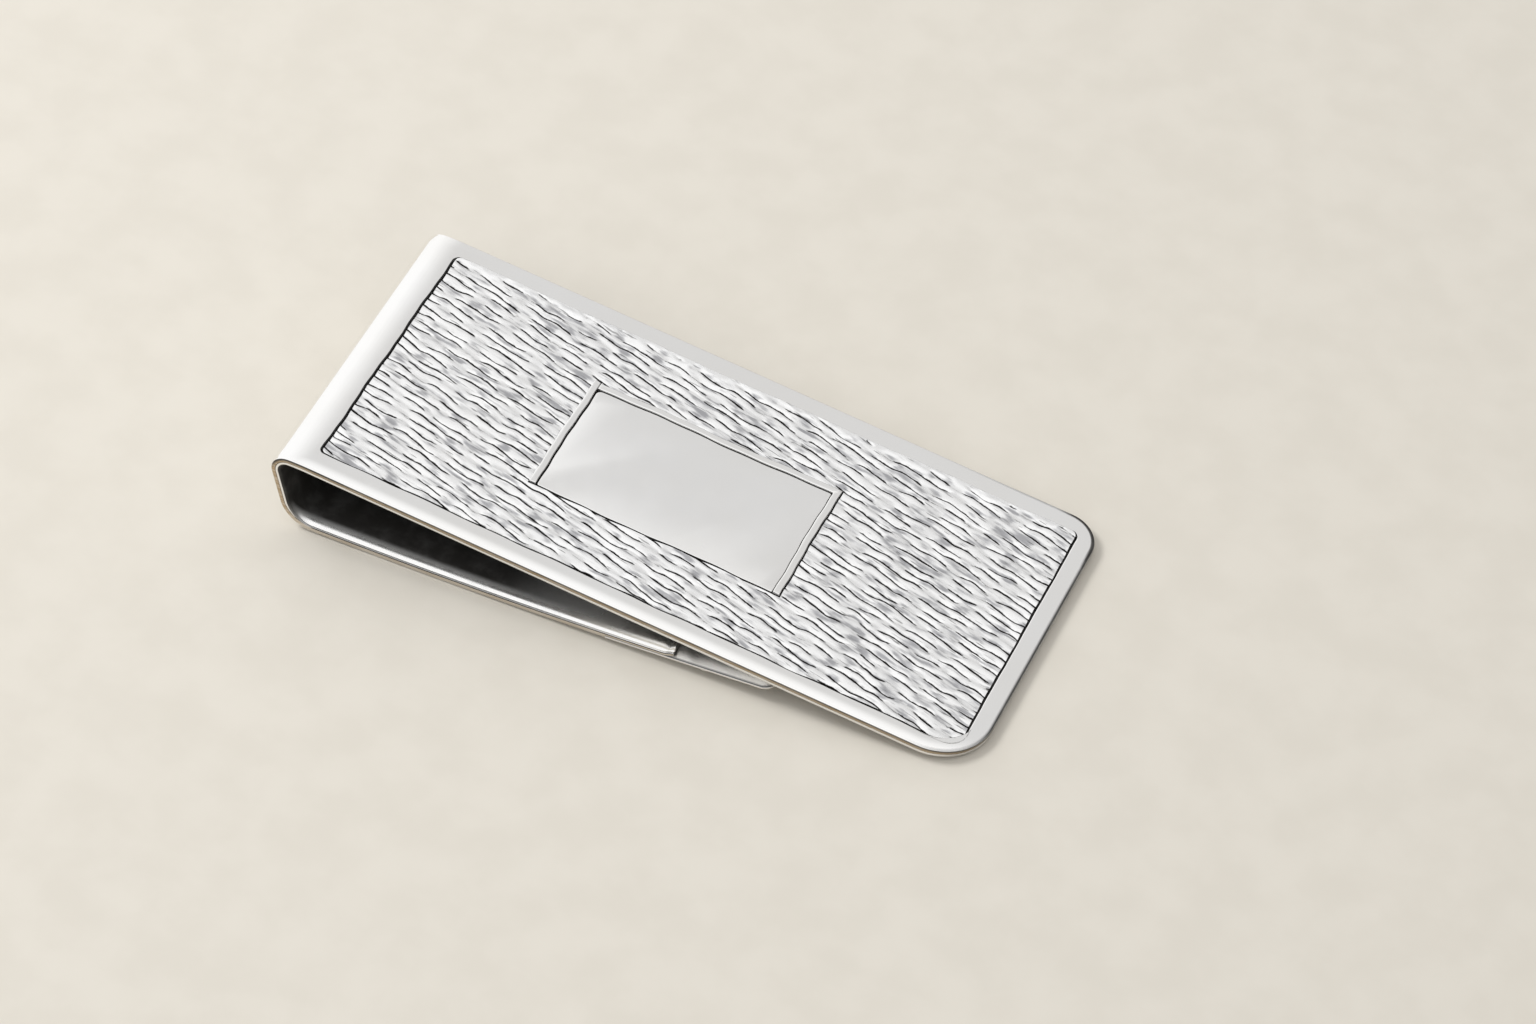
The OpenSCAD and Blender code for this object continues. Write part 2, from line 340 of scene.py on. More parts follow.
# ---------------------------------------------------------------- materials
class Nodes:
    """A material's or world's node tree, with short calls to build it."""

    def __init__(self, owner):
        owner.use_nodes = True
        self.tree = owner.node_tree
        self.tree.nodes.clear()

    def add(self, kind, inputs=(), **settings):
        """A node with its settings; inputs maps socket names or numbers to values or sockets."""
        node = self.tree.nodes.new(kind)
        for key, value in settings.items():
            setattr(node, key, value)
        for key, value in dict(inputs).items():
            socket = node.inputs[key]
            if isinstance(value, bpy.types.NodeSocket):
                self.tree.links.new(value, socket)
            else:
                socket.default_value = value
        return node

    def math(self, operation, a, b, clamp=False):
        """The result of an operation on two values or sockets."""
        return self.add("ShaderNodeMath", {0: a, 1: b}, operation=operation, use_clamp=clamp).outputs[0]

    def ramp(self, value, low, high, to_low=0.0, to_high=1.0):
        """value mapped softly from low..high to to_low..to_high, and held outside."""
        return self.add("ShaderNodeMapRange", {0: value, 1: low, 2: high, 3: to_low, 4: to_high},
                        interpolation_type="SMOOTHSTEP").outputs[0]

    def mix(self, share, a, b):
        """Colour a turned into colour b by share."""
        node = self.add("ShaderNodeMix", {0: share, 6: a, 7: b}, data_type="RGBA")
        return node.outputs[2]

    def noise(self, vector, scale, detail, roughness=0.5):
        """Cloudy noise from 0 to 1."""
        return self.add("ShaderNodeTexNoise", {"Vector": vector, "Scale": scale, "Detail": detail,
                                               "Roughness": roughness}).outputs["Fac"]

    def stretched(self, vector, scale, turn=0.0):
        """Coordinates scaled along axes that are turned about z, for detail with a direction."""
        node = self.add("ShaderNodeMapping", {"Vector": vector, "Rotation": (0, 0, turn),
                                              "Scale": [1 / v for v in scale]}, vector_type="TEXTURE")
        return node.outputs[0]


def rgb(*values):
    """An opaque colour."""
    return (*values, 1.0)


# Near-black painted shade for seams, rim lines and the fold, and the tan of a reflection painted on the
# sides
SHADE_BLACK, SIDE_TAN = rgb(0.032, 0.03, 0.027), rgb(0.45, 0.345, 0.22)
# The grains' own white, and the grey of their painted shade
GRAIN_WHITE, GRAIN_GREY = rgb(0.975, 0.973, 0.97), rgb(0.45, 0.45, 0.465)
# Near black painted into the cuts as their shade
CUT_BLACK = rgb(0.016, 0.014, 0.013)


def hairlines(n, place, turn, density):
    """Fine straight scratches in one direction, as a mask from 0 to 1."""
    lines = n.noise(n.stretched(place, (90.0, 9000.0, 9000.0), turn), 1.0, 1.0)
    where = n.noise(place, 260.0, 1.0)
    return n.math("MULTIPLY", n.ramp(lines, 0.74 - density, 0.80 - density), n.ramp(where, 0.5, 0.62))


def silver(name, rough, bright=1.0, scratches=0.5):
    """Polished silver. One mesh value paints shade black into its seams, rim lines and fold; another
    paints a tan reflection onto its sides.
    """
    material = bpy.data.materials.new(name)
    n = Nodes(material)
    place = n.add("ShaderNodeTexCoord").outputs["Object"]
    cloud = n.noise(place, 130.0, 3.0)
    haze = n.noise(place, 700.0, 4.0, 0.6)
    worn = hairlines(n, place, 0.25, 0.04)
    for turn in (1.1, 2.3):
        worn = n.math("MAXIMUM", worn, hairlines(n, place, turn, 0.02))
    # Painted shade: this mesh value turns the silver near black, less metallic and rougher, in seams,
    # rim lines and the fold
    tarnish = n.add("ShaderNodeAttribute", attribute_name="tarnish").outputs["Fac"]
    shade_share = n.math("MULTIPLY", tarnish, n.ramp(haze, 0.2, 0.6, 0.93, 1.0), clamp=True)
    clean = n.mix(n.ramp(cloud, 0.35, 0.72, 0.0, 0.22),
                  rgb(0.955 * bright, 0.95 * bright, 0.94 * bright),
                  rgb(0.90 * bright, 0.875 * bright, 0.83 * bright))
    # Painted reflection: this mesh value tans the sides, streaked along them
    patina = n.add("ShaderNodeAttribute", attribute_name="patina").outputs["Fac"]
    streaks = n.noise(n.stretched(place, (420.0, 420.0, 7000.0)), 1.0, 2.0)
    tan_share = n.math("MULTIPLY", patina, n.ramp(streaks, 0.3, 0.65, 0.65, 1.0), clamp=True)
    colour = n.mix(shade_share, n.mix(tan_share, clean, SIDE_TAN), SHADE_BLACK)
    polish = n.math("ADD", n.ramp(haze, 0.3, 0.75, rough - 0.025, rough + 0.045),
                    n.math("MULTIPLY", worn, 0.10 * scratches))
    roughness = n.math("ADD", polish, n.math("MULTIPLY", shade_share, 0.5), clamp=True)
    relief = n.math("SUBTRACT", n.math("MULTIPLY", haze, 0.35), n.math("MULTIPLY", worn, scratches))
    bump = n.add("ShaderNodeBump", {"Strength": 0.06, "Distance": 0.00004, "Height": relief})
    metal = n.math("SUBTRACT", 1.0, n.math("MULTIPLY", shade_share, 0.75))
    shader = n.add("ShaderNodeBsdfPrincipled", {"Base Color": colour, "Metallic": metal,
                                                "Roughness": roughness, "Normal": bump.outputs[0]})
    n.add("ShaderNodeOutputMaterial", {"Surface": shader.outputs[0]})
    return material


def grained_silver(name):
    """The engine-turned ground: bright grains, soft grey hollows and dark cuts, the grey and the cuts'
    black painted in as shade.
    """
    material = bpy.data.materials.new(name)
    n = Nodes(material)
    place = n.add("ShaderNodeTexCoord").outputs["Object"]
    # Painted shade: one mesh value blackens the cuts, the other greys the hollows
    cut = n.add("ShaderNodeAttribute", attribute_name="tarnish").outputs["Fac"]
    shade = n.add("ShaderNodeAttribute", attribute_name="shade").outputs["Fac"]
    haze = n.noise(place, 1500.0, 4.0, 0.6)
    flow = n.noise(n.stretched(place, (760.0, 4000.0, 760.0), -SLANT), 1.0, 2.0)
    hair = n.noise(n.stretched(place, (700.0, 7000.0, 700.0), -SLANT), 1.0, 1.0)
    # Painted grey shade, streaked along the rows
    drawn = n.math("ADD", n.ramp(flow, 0.3, 0.7, -0.35, 0.45), n.ramp(haze, 0.3, 0.7, -0.1, 0.1))
    dusk = n.ramp(n.math("ADD", shade, drawn), 0.1, 1.25)
    ground = n.mix(dusk, GRAIN_WHITE, GRAIN_GREY)
    # Fine dark lines along the rows, painted with the cuts' black
    fine = n.math("MULTIPLY", n.ramp(hair, 0.66, 0.74), 0.55)
    edge = n.math("ADD", cut, n.ramp(haze, 0.3, 0.7, -0.15, 0.15))
    broken = n.math("MAXIMUM", n.ramp(edge, 0.12, 0.42), fine)
    colour = n.mix(broken, ground, CUT_BLACK)
    roughness = n.math("ADD", n.ramp(haze, 0.3, 0.7, 0.24, 0.36), n.math("MULTIPLY", broken, 0.3))
    bump = n.add("ShaderNodeBump", {"Strength": 0.12, "Distance": 0.00003, "Height": haze})
    shader = n.add("ShaderNodeBsdfPrincipled", {"Base Color": colour, "Metallic": 1.0,
                                                "Roughness": roughness, "Normal": bump.outputs[0]})
    n.add("ShaderNodeOutputMaterial", {"Surface": shader.outputs[0]})
    return material


STRIP = silver("strip_silver", 0.13)
POLISHED = silver("polished_silver", 0.11)
TABLET = silver("tablet_silver", 0.17, bright=0.985, scratches=0.8)
TONGUE = silver("tongue_silver", 0.31)
RIVET = silver("rivet_silver", 0.2, bright=0.95)
GRAINED = grained_silver("engine_turned_silver")


# ---------------------------------------------------------------- front leaf and border
BUTT = 0.12          # flat that the bow carries past each of its bends
BUTT_X = TOP_BEND_R + BUTT
EASE_X, EASE_END = 2.75, 1.254       # the border eases down between these before the bend
EASE_BEND = 0.0702                   # and turns by this much a millimetre
EASE_STATIONS = np.linspace(BUTT_X, 2.5, 6)
FOLD_DARK, FOLD_CLEAR = 17.0, 29.0   # the underside carries painted shade up to here, and none past here
END_TAN_LOST = 0.85                  # share of the sides' tan that the free end doesn't have


def eased(x):
    """How far the front face has dropped at x on its way into the bend."""
    return 0.5 * EASE_BEND * np.clip(EASE_X - np.asarray(x), 0, EASE_X - EASE_END) ** 2


def rim_dark_reflection(x, y, strength):
    """Painted dark reflection along the rim at the free end, thickened by painted shade at its far
    corner, lost on the near side.
    """
    corner = rise(x, 47.5, 49.5) * rise(y, 7.5, 10.0)
    line = rise(x, 46.5, 49.0) * (0.35 + 0.65 * rise(y, -11.0, -8.0))
    line = np.maximum(line, 0.55 * rise(y, 10.0, 11.0) * rise(x, 38.0, 47.0))
    return line * np.minimum(strength + 0.8 * corner, 1)


def brow_dark(strength, x):
    """The painted shade line above the side's tan band, thicker towards the bow."""
    return np.minimum(strength + 0.8 * rise(x, 7.5, 1.5), 1)


def leaf_rings(shape, edge, first, last):
    """Rings of the front leaf for a run of its edge's points."""
    rings = []
    # Painted shade: the inner face darkens into the fold
    under = edge.inner_dark(*FRONT_INNER_SHADE)
    # Painted tan reflection on the sides
    patina = edge.side_patina(1.0, 0.05)
    for k in range(first, last):
        inset, depth = edge.points[k]
        path = np.array(plan_path(EASE_STATIONS, EASE_X, LENGTH, inset,
                                  (NEAR_CORNER_R, FAR_CORNER_R)))
        in_fold = rise(path[:, 0], FOLD_CLEAR, FOLD_DARK)
        # The seam between cover and base is painted black, as its shade
        dark = 1.0 if k == edge.seam else under[k] * in_fold
        # Painted dark reflection along the rim's rounding
        if k in edge.rim:
            dark = rim_dark_reflection(path[:, 0], path[:, 1], edge.rim[k])
        # Painted shade line along the brow
        if k in edge.brow:
            dark = np.maximum(dark, brow_dark(edge.brow[k], path[:, 0]))
        lean = EASE_BEND * np.clip(EASE_X - path[:, 0], 0, EASE_X - EASE_END)
        x = path[:, 0] + depth * np.sin(lean)
        z = -eased(path[:, 0]) - depth * np.cos(lean)
        tan_kept = 1 - END_TAN_LOST * rise(path[:, 0], 48.0, 50.0) * rise(path[:, 1], -9.0, -5.0)
        rings.append(shape.ring(np.column_stack([x, path[:, 1], z]), dark, patina[k] * tan_kept))
    shape.skin(rings)
    return rings


def front_plate():
    """Base of the front leaf: its top lies under the cover, and only its edges show."""
    shape = Shape()
    rings = leaf_rings(shape, FRONT_EDGE, FRONT_EDGE.seam, len(FRONT_EDGE.points))
    shape.across(rings[0])
    shape.across(rings[-1])
    shape.open_end(rings)
    return add_piece("front_plate", shape, STRIP)


GAP_END, GAP_NEAR, GAP_FAR = 0.17, 0.13, 0.004
PANEL_CORNERS = (1.25, 0.45, 0.35, 0.25)


def window(out):
    """Outline of the border's window, grown by out, and less so at its flush far side."""
    return round_rect(PANEL_X0 - GAP_END - out, PANEL_X1 + GAP_END + out,
                      -PANEL_HALF - GAP_NEAR - out, PANEL_HALF + GAP_FAR + out * 0.1,
                      [r + 0.08 + out for r in PANEL_CORNERS])


def cover_border():
    """Polished border with a crowned outer edge and a window with softened edges."""
    shape = Shape()
    rings = leaf_rings(shape, FRONT_EDGE, 0, FRONT_EDGE.seam + 1)
    inner = []
    for out, z in ((0.10, 0.0), (0.05, 0.0), (0.02, -0.008), (0.0, -0.03), (0.0, -COVER_T)):
        path = swayed(dense(window(out), window(0.0)))
        # Painted shade: the window's wall darkens downwards
        dark = rise(z, -0.02, -0.10)
        inner.append(shape.ring(np.column_stack([path, np.full(len(path), z)]), dark))
    shape.skin(inner, closed=True)
    shape.open_end(rings)
    eased_part = len(EASE_STATIONS) - 1
    for ring in (rings[0], rings[-1]):
        shape.across(ring, eased_part)
    outer = [ring[eased_part:len(ring) - eased_part] for ring in (rings[0], rings[-1])]
    return add_piece("cover_border", shape, POLISHED,
                     fills=[(outer[0], inner[0]), (outer[1], inner[-1])])


# ---------------------------------------------------------------- tablet and rails
TAB_X0, TAB_X1 = TABLET_X - TABLET_LEN / 2, TABLET_X + TABLET_LEN / 2
TAB_HALF = TABLET_W / 2
CUT_LINE = 0.09      # gap between the tablet, its rails and the panel; its walls carry painted shade
RAIL_FIT = 0.03      # the finer gap round the bow-end rail


def slab(name, outline_at, top, bevel, material):
    """A flat piece with rounded top edges. outline_at(inset) gives its outline."""
    shape = Shape()
    rings = []
    base = outline_at(0.0)
    # Painted shade: the walls below the rounded top are painted dark, as the gap's shade
    steps = [(0.0, -COVER_T, 1.0), (0.0, -0.06, 1.0), (0.0, -0.02, 0.35)]
    steps += [(bevel * (1 - math.cos(a)), top - bevel * (1 - math.sin(a)), 0.0)
              for a in np.linspace(0, math.pi / 2, 5)]
    for inset, z, dark in steps:
        path = swayed(dense(outline_at(inset), base))
        rings.append(shape.ring(np.column_stack([path, np.full(len(path), z)]), dark))
    shape.tube(rings)
    return add_piece(name, shape, material)


def quad_at(corners):
    """Inset function of a convex outline, given as corners in turn to the left."""
    corners = np.array(corners, float)

    def outline_at(inset):
        moved = []
        for a, b, c in zip(np.roll(corners, 1, 0), corners, np.roll(corners, -1, 0)):
            u, v = (b - a) / np.hypot(*(b - a)), (c - b) / np.hypot(*(c - b))
            nu, nv = np.array([-u[1], u[0]]), np.array([-v[1], v[0]])
            moved.append(b + inset * (nu + nv) / (1 + nu @ nv))
        return np.array(moved)
    return outline_at


def tablet_at(inset):
    """Outline of the tablet between its rails, drawn in."""
    return round_rect(TAB_X0 + RAIL_W + CUT_LINE + inset, TAB_X1 - RAIL_W - 0.6 * CUT_LINE - inset,
                      -TAB_HALF + inset, TAB_HALF - RAIL_W - 0.8 * CUT_LINE - inset,
                      (0.12, 0.12, 0.35, 0.15))


def name_tablet():
    """The plain plate, level with the polished face."""
    return slab("tablet_plate", tablet_at, 0.0, 0.05, TABLET)


RAIL_TOP, RAIL_BEVEL = RAIL_RISE - 0.02, 0.07


def rails():
    """Bow-end rail, free-end rail and far rail, which meet at mitres or butt."""
    bow_end = quad_at([(TAB_X0, -TAB_HALF), (TAB_X0 + RAIL_W, -TAB_HALF),
                       (TAB_X0 + RAIL_W, TAB_HALF + 0.3 * RAIL_OVERRUN),
                       (TAB_X0, TAB_HALF + RAIL_OVERRUN)])
    free_end = quad_at([(TAB_X1 - RAIL_W, -TAB_HALF), (TAB_X1, -TAB_HALF), (TAB_X1, TAB_HALF),
                        (TAB_X1 - RAIL_W, TAB_HALF - RAIL_W)])
    far_side = quad_at([(TAB_X0 + RAIL_W + 0.02, TAB_HALF - RAIL_W),
                        (TAB_X1 - RAIL_W - 0.01, TAB_HALF - RAIL_W),
                        (TAB_X1 - 0.01, TAB_HALF), (TAB_X0 + RAIL_W + 0.02, TAB_HALF)])
    return [slab("bow_end_bar", bow_end, RAIL_TOP, RAIL_BEVEL, POLISHED),
            slab("free_end_bar", free_end, RAIL_TOP, RAIL_BEVEL, POLISHED),
            slab("far_side_bar", far_side, RAIL_TOP, RAIL_BEVEL, POLISHED)]


# ---------------------------------------------------------------- engine-turned panel
PITCH = 0.68         # from one row of cuts to the next
STEP = 0.14          # between stations along a row
ROW_JITTER = 0.06    # a row may stand this far off its place
ROW_WAVES = ((3.5, 0.085), (9.0, 0.07), (1.3, 0.014))    # (length, height) of a row's waves
STROKE_LEN, STROKE_GAP, STROKE_TAPER = (1.9, 5.4), (0.1, 0.9), 0.8
CUT_HALF, CUT_DEPTH = 0.10, 0.07
HOLLOW_Z, GRAIN = -0.115, 0.10
ALONG = np.array([math.cos(SLANT), -math.sin(SLANT)])
ACROSS = np.array([math.sin(SLANT), math.cos(SLANT)])
PANEL_MID = np.array([(PANEL_X0 + PANEL_X1) / 2, 0.0])
CELL_STEPS = ((0.22, 0.25), (0.42, 0.55), (0.62, 0.82), (0.82, 1.0))     # (share, height)
PATCH_ALONG, PATCH_ACROSS = 1.0, 0.26                                    # soft patches of painted grey shade


def waves(rng, u, parts):
    """Sum of sine waves given as (length, height), each with its own phase and length."""
    total = np.zeros_like(u)
    for length, height in parts:
        turns = u / (length * rng.uniform(0.88, 1.12)) + rng.uniform(0, 1)
        total += height * np.sin(2 * math.pi * turns + 0.5 * np.sin(2 * math.pi * turns))
    return total


def strokes(rng, u):
    """Where a row is cut: tapered strokes with short gaps between them."""
    mask = np.zeros_like(u)
    start = u[0] - rng.uniform(0, 3)
    while start < u[-1]:
        length = rng.uniform(*STROKE_LEN)
        ends = np.minimum(u - start, start + length - u)
        mask = np.maximum(mask, rng.uniform(0.75, 1.0) * smooth(ends / STROKE_TAPER))
        start += length + rng.uniform(*STROKE_GAP)
    return mask


def patch_row(values, u, w):
    """Soft random patches along u at the row coordinate w, from a grid of random values."""
    row = int(w / PATCH_ACROSS)
    down = smooth(w / PATCH_ACROSS - row)
    place = (u - u[0]) / PATCH_ALONG
    left = place.astype(int)
    share = smooth(place - left)
    lines = [values[r][left] * (1 - share) + values[r][left + 1] * share for r in (row, row + 1)]
    return rise((1 - down) * lines[0] + down * lines[1], 0.4, 0.95)


def far_fade(x, y):
    """1 over the panel, falling to 0 along an uneven line at its far side."""
    edge = PANEL_HALF - 0.12 + 0.16 * np.sin(2.1 * x + np.sin(0.9 * x)) + 0.10 * np.sin(5.3 * x + 2)
    return rise(y, edge, edge - 0.45)


def grain_grid():
    """Points, painted cut shade and painted grey shade of the whole field of grains, as rows of
    stations.
    """
    rng = np.random.default_rng(7)
    half_u = (PANEL_X1 - PANEL_X0) / 2 * ALONG[0] + PANEL_HALF * ACROSS[0] + 0.3
    half_v = (PANEL_X1 - PANEL_X0) / 2 * ACROSS[0] + PANEL_HALF * ALONG[0] + 0.8
    u = np.arange(-half_u, half_u + STEP, STEP)
    count = math.ceil(half_v / PITCH)
    curves, masks = [], []
    for k in range(-count, count + 1):
        middle = k * PITCH + rng.uniform(-ROW_JITTER, ROW_JITTER)
        curves.append(middle + waves(rng, u, ROW_WAVES))
        masks.append(strokes(rng, u))
    patch_rows = math.ceil(2 * count * PITCH / PATCH_ACROSS) + 2
    values = rng.random((patch_rows, math.ceil((u[-1] - u[0]) / PATCH_ALONG) + 2))
    lines = []
    for k in range(2 * count):
        low, high, mask, after = curves[k], curves[k + 1], masks[k], masks[k + 1]

        def shade_at(t):
            return patch_row(values, u, (k + t) * PITCH)

        flat, flat_after = 1 - mask, 1 - after
        lines.append((low, 0.4 * GRAIN * flat - CUT_DEPTH * mask, mask, 0.4 * shade_at(0.0)))
        lines.append((low + CUT_HALF, GRAIN * (0.05 + 0.35 * flat), 0.2 * mask, shade_at(0.1)))
        for t, high_share in CELL_STEPS:
            level = high_share * (1 - 0.45 * flat_after * t) + 0.2 * flat * (1 - t)
            shade = shade_at(t)
            lines.append((low + t * (high - low), GRAIN * (level * (1 - 0.3 * shade)), 0 * mask, shade))
        lines.append((high - CUT_HALF, GRAIN * (0.9 - 0.4 * flat_after), 0.2 * after,
                      0.5 * shade_at(0.95)))
    return u, lines


def cut_plane(bm, point, normal, drop=False):
    """Cuts the mesh by a plane, and may drop what lies on the side that its normal points to."""
    bmesh.ops.bisect_plane(bm, geom=bm.verts[:] + bm.edges[:] + bm.faces[:], dist=1e-7,
                           plane_co=point, plane_no=normal, clear_outer=drop)


def engine_panel():
    """The grained panel: cut to its outline, opened for the tablet and closed below."""
    u, lines = grain_grid()
    bm = bmesh.new()
    dark_layer = bm.verts.layers.float.new("tarnish")
    shade_layer = bm.verts.layers.float.new("shade")
    rows = []
    for v, height, dark, shade in lines:
        flat = PANEL_MID + u[:, None] * ALONG + v[:, None] * ACROSS
        fade = far_fade(flat[:, 0], flat[:, 1])
        z = fade * (HOLLOW_Z + height)
        row = []
        for i in range(len(u)):
            vert = bm.verts.new((flat[i, 0], flat[i, 1], z[i]))
            vert[dark_layer] = dark[i] * fade[i]
            vert[shade_layer] = shade[i] * fade[i]
            row.append(vert)
        rows.append(row)
    reach_x, reach_y = (PANEL_X1 - PANEL_X0) / 2 + 0.4, PANEL_HALF + 0.4
    for a, b in zip(rows, rows[1:]):
        for i in range(len(u) - 1):
            x, y, _ = a[i].co
            if abs(x - PANEL_MID[0]) < reach_x and abs(y) < reach_y:
                bm.faces.new((a[i], a[i + 1], b[i + 1], b[i]))
    bmesh.ops.delete(bm, geom=[v for v in bm.verts if not v.link_faces], context="VERTS")
    outline = round_rect(PANEL_X0, PANEL_X1, -PANEL_HALF, PANEL_HALF, PANEL_CORNERS, steps=6)
    for a, b in zip(outline, np.roll(outline, -1, 0)):
        side = b - a
        if np.hypot(*side) > 1e-6:
            cut_plane(bm, (*a, 0), (side[1], -side[0], 0), drop=True)
    left, near, far = TAB_X0 - RAIL_FIT, -TAB_HALF - CUT_LINE, TAB_HALF + CUT_LINE
    opening = ((left, TAB_X1 + CUT_LINE, near, far),
               (left, TAB_X0 + RAIL_W + RAIL_FIT, near, TAB_HALF + RAIL_OVERRUN + RAIL_FIT))
    for x0, x1, y0, y1 in opening:
        for point, normal in (((x0, 0, 0), (1, 0, 0)), ((x1, 0, 0), (1, 0, 0)),
                              ((0, y0, 0), (0, 1, 0)), ((0, y1, 0), (0, 1, 0))):
            cut_plane(bm, point, normal)
    inside = []
    for f in bm.faces:
        c = f.calc_center_median()
        if any(x0 < c.x < x1 and y0 < c.y < y1 for x0, x1, y0, y1 in opening):
            inside.append(f)
    bmesh.ops.delete(bm, geom=inside, context="FACES")
    rim = [e for e in bm.edges if e.is_boundary]
    made = bmesh.ops.extrude_edge_only(bm, edges=rim)["geom"]
    low = [g for g in made if isinstance(g, bmesh.types.BMVert)]
    # Painted shade: the panel's walls, dropped into the gaps, are painted black
    for vert in low:
        vert.co.z = -COVER_T
        vert[dark_layer] = 1.0
        vert[shade_layer] = 0.0
    low_edges = [g for g in made if isinstance(g, bmesh.types.BMEdge)]
    bmesh.ops.triangle_fill(bm, edges=low_edges, use_beauty=True)
    bmesh.ops.recalc_face_normals(bm, faces=bm.faces)
    points = np.array([v.co for v in bm.verts])
    points[:, :2] = swayed(points[:, :2])
    for vert, p in zip(bm.verts, at_leaf(points)):
        vert.co = p
    mesh = bpy.data.meshes.new("grained_panel")
    bm.to_mesh(mesh)
    bm.free()
    return finish_piece("grained_panel", mesh, GRAINED, sharp=55)


# ---------------------------------------------------------------- bow, rear leaf and tongue
EASED_R = 1.4         # the tight bend's radius, once the border has eased into it
EASED_LIFT = 0.008    # lifts that bend to start where the eased face ends


def bow_path():
    """The bow's outer line, as (point, outward angle) from the border to the rear leaf."""
    lean = math.pi + WALL_LEAN
    tight = np.array([EASED_R, -eased(EASE_END) - EASED_R + EASED_LIFT])
    stations = [((x, -eased(x)), math.pi / 2 + EASE_BEND * (EASE_X - x))
                for x in np.linspace(BUTT_X, EASE_END, 4)[:-1]]
    start = math.pi / 2 + EASE_BEND * (EASE_X - EASE_END)
    stations += [(tight + EASED_R * turned(a), a) for a in np.linspace(start, lean, 28)]
    foot = HEEL + HEEL_R * turned(lean)
    top = stations[-1][0]
    stations += [(top + (foot - top) * t, lean) for t in np.linspace(0, 1, 9)[1:-1]]
    stations += [(HEEL + HEEL_R * turned(a), a)
                 for a in np.linspace(lean, 1.5 * math.pi + ARM_RISE, 26)]
    stations.append((arm_point(BUTT, 0), 1.5 * math.pi + ARM_RISE + BUTT / ARM_R))
    return stations


def strip_ring(shape, point, outward, edge_points, dark, patina):
    """One cross-section of the strip, standing square to it at a point of its outer line."""
    cut = section(edge_points)
    x = point[0] - np.array([d for _, d in cut]) * outward[0]
    z = point[1] - np.array([d for _, d in cut]) * outward[1]
    both = [np.concatenate([v, v[::-1]]) for v in (dark, patina)]
    return shape.ring(np.column_stack([x, [y for y, _ in cut], z]), *both)


def bow():
    """The bend: two worked layers at the front, turning into one round-edged strip."""
    shape = Shape()
    path = bow_path()
    rings = []
    for i, (point, angle) in enumerate(path):
        along = i / (len(path) - 1)
        share = float(rise(along, 0.58, 0.98))
        # Painted shade: the inner faces are black inside the fold
        dark = ((1 - share) * FRONT_EDGE.inner_dark(*FRONT_INNER_SHADE)
                + share * REAR_EDGE.inner_dark(*REAR_INNER_SHADE))
        # The seam's painted black shade fades out along the bow
        dark[FRONT_EDGE.seam] = 1 - share
        # The brow's painted shade line, only where the bow starts
        for k, strength in FRONT_EDGE.brow.items():
            dark[k] = brow_dark(strength, 0.0) * float(rise(along, 0.45, 0.25))
        # Painted tan reflection on the sides
        patina = FRONT_EDGE.side_patina(1 - 0.4 * share, 0.05 + 0.15 * share)
        rings.append(strip_ring(shape, point, turned(angle), FRONT_EDGE.mixed(REAR_EDGE, share),
                                dark, patina))
    shape.tube(rings)
    piece = add_piece("bow_strip", shape, STRIP)
    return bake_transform(piece)


LIP_CURL, LIP_RUN = 0.2, 0.8
LAP_FLOOR = 0.27      # the tongue is let in this deep under the lap
ARM_DARK, ARM_CLEAR = 13.0, REAR_LEN - 1.5    # the rear leaf's painted shade fades between these


def rear_strip():
    """Rear leaf: full thickness up to the lap, then a thin lip that curls up at its end."""
    shape = Shape()
    lap = REAR_LEN - LAP_LEN
    stations = [(u, 0.0, 0.0, 1.0) for u in np.linspace(BUTT, lap, 40)]
    stations += [(u, LAP_FLOOR, LIP_CURL * rise(u, REAR_LEN - LIP_RUN, REAR_LEN), 1.0)
                 for u in np.linspace(lap + 0.02, REAR_LEN - 0.05, 26)]
    stations += [(REAR_LEN - 0.02, LAP_FLOOR, LIP_CURL, 0.8), (REAR_LEN, LAP_FLOOR, LIP_CURL, 0.45)]
    rings = []
    for u, floor, lift, open_share in stations:
        edge = REAR_EDGE.points.copy()
        edge[:, 1] = np.maximum(edge[:, 1], floor)
        middle = (STRIP_T + floor) / 2
        edge[:, 1] = middle + (edge[:, 1] - middle) * open_share + lift
        # Painted shade on the inner face, fading out towards the lip
        fade = float(rise(u, ARM_CLEAR, ARM_DARK))
        dark = REAR_EDGE.inner_dark(*REAR_INNER_SHADE) * fade
        slope = ARM_RISE + u / ARM_R - math.pi / 2
        # Painted tan reflection on the rear leaf's sides
        rings.append(strip_ring(shape, arm_point(u, 0), turned(slope), edge, dark,
                                REAR_EDGE.side_patina(0.6, 0.2)))
    shape.tube(rings)
    return add_piece("rear_strip", shape, STRIP)


def tongue_point(u, depth):
    """Point of the tongue: along the rear leaf under the lap, then straight to its tip."""
    if u <= REAR_LEN:
        return arm_point(u, depth)
    return LIP + turned(TONGUE_RISE) * (u - REAR_LEN) + turned(TONGUE_RISE + math.pi / 2) * depth


BEAD_Y, BEAD_HALF, BEAD_ROOT = 0.19 - HALF, 0.18, 0.1     # place, half width, and sunk part


def bead(shape, u, length, drop):
    """A small drop of solder under the tongue's near edge. length is half of its own."""
    around = np.linspace(0, 2 * math.pi, 15)[:-1]
    rings = []
    for a in np.linspace(0.0, math.pi / 2 - 0.15, 6):
        wide, depth = math.cos(a), BEAD_ROOT - (drop + BEAD_ROOT) * math.sin(a)
        spots = [tongue_point(u + length * wide * math.cos(t), depth) for t in around]
        # The drops carry a little painted tan reflection
        rings.append(shape.ring([(p[0], BEAD_Y + BEAD_HALF * wide * math.sin(t), p[1])
                                 for p, t in zip(spots, around)], 0.0, 0.3))
    shape.tube(rings)


TONGUE_LINE = (0.6, 1.0, 0.8)    # painted shade line along the tongue's upper rim, by ring
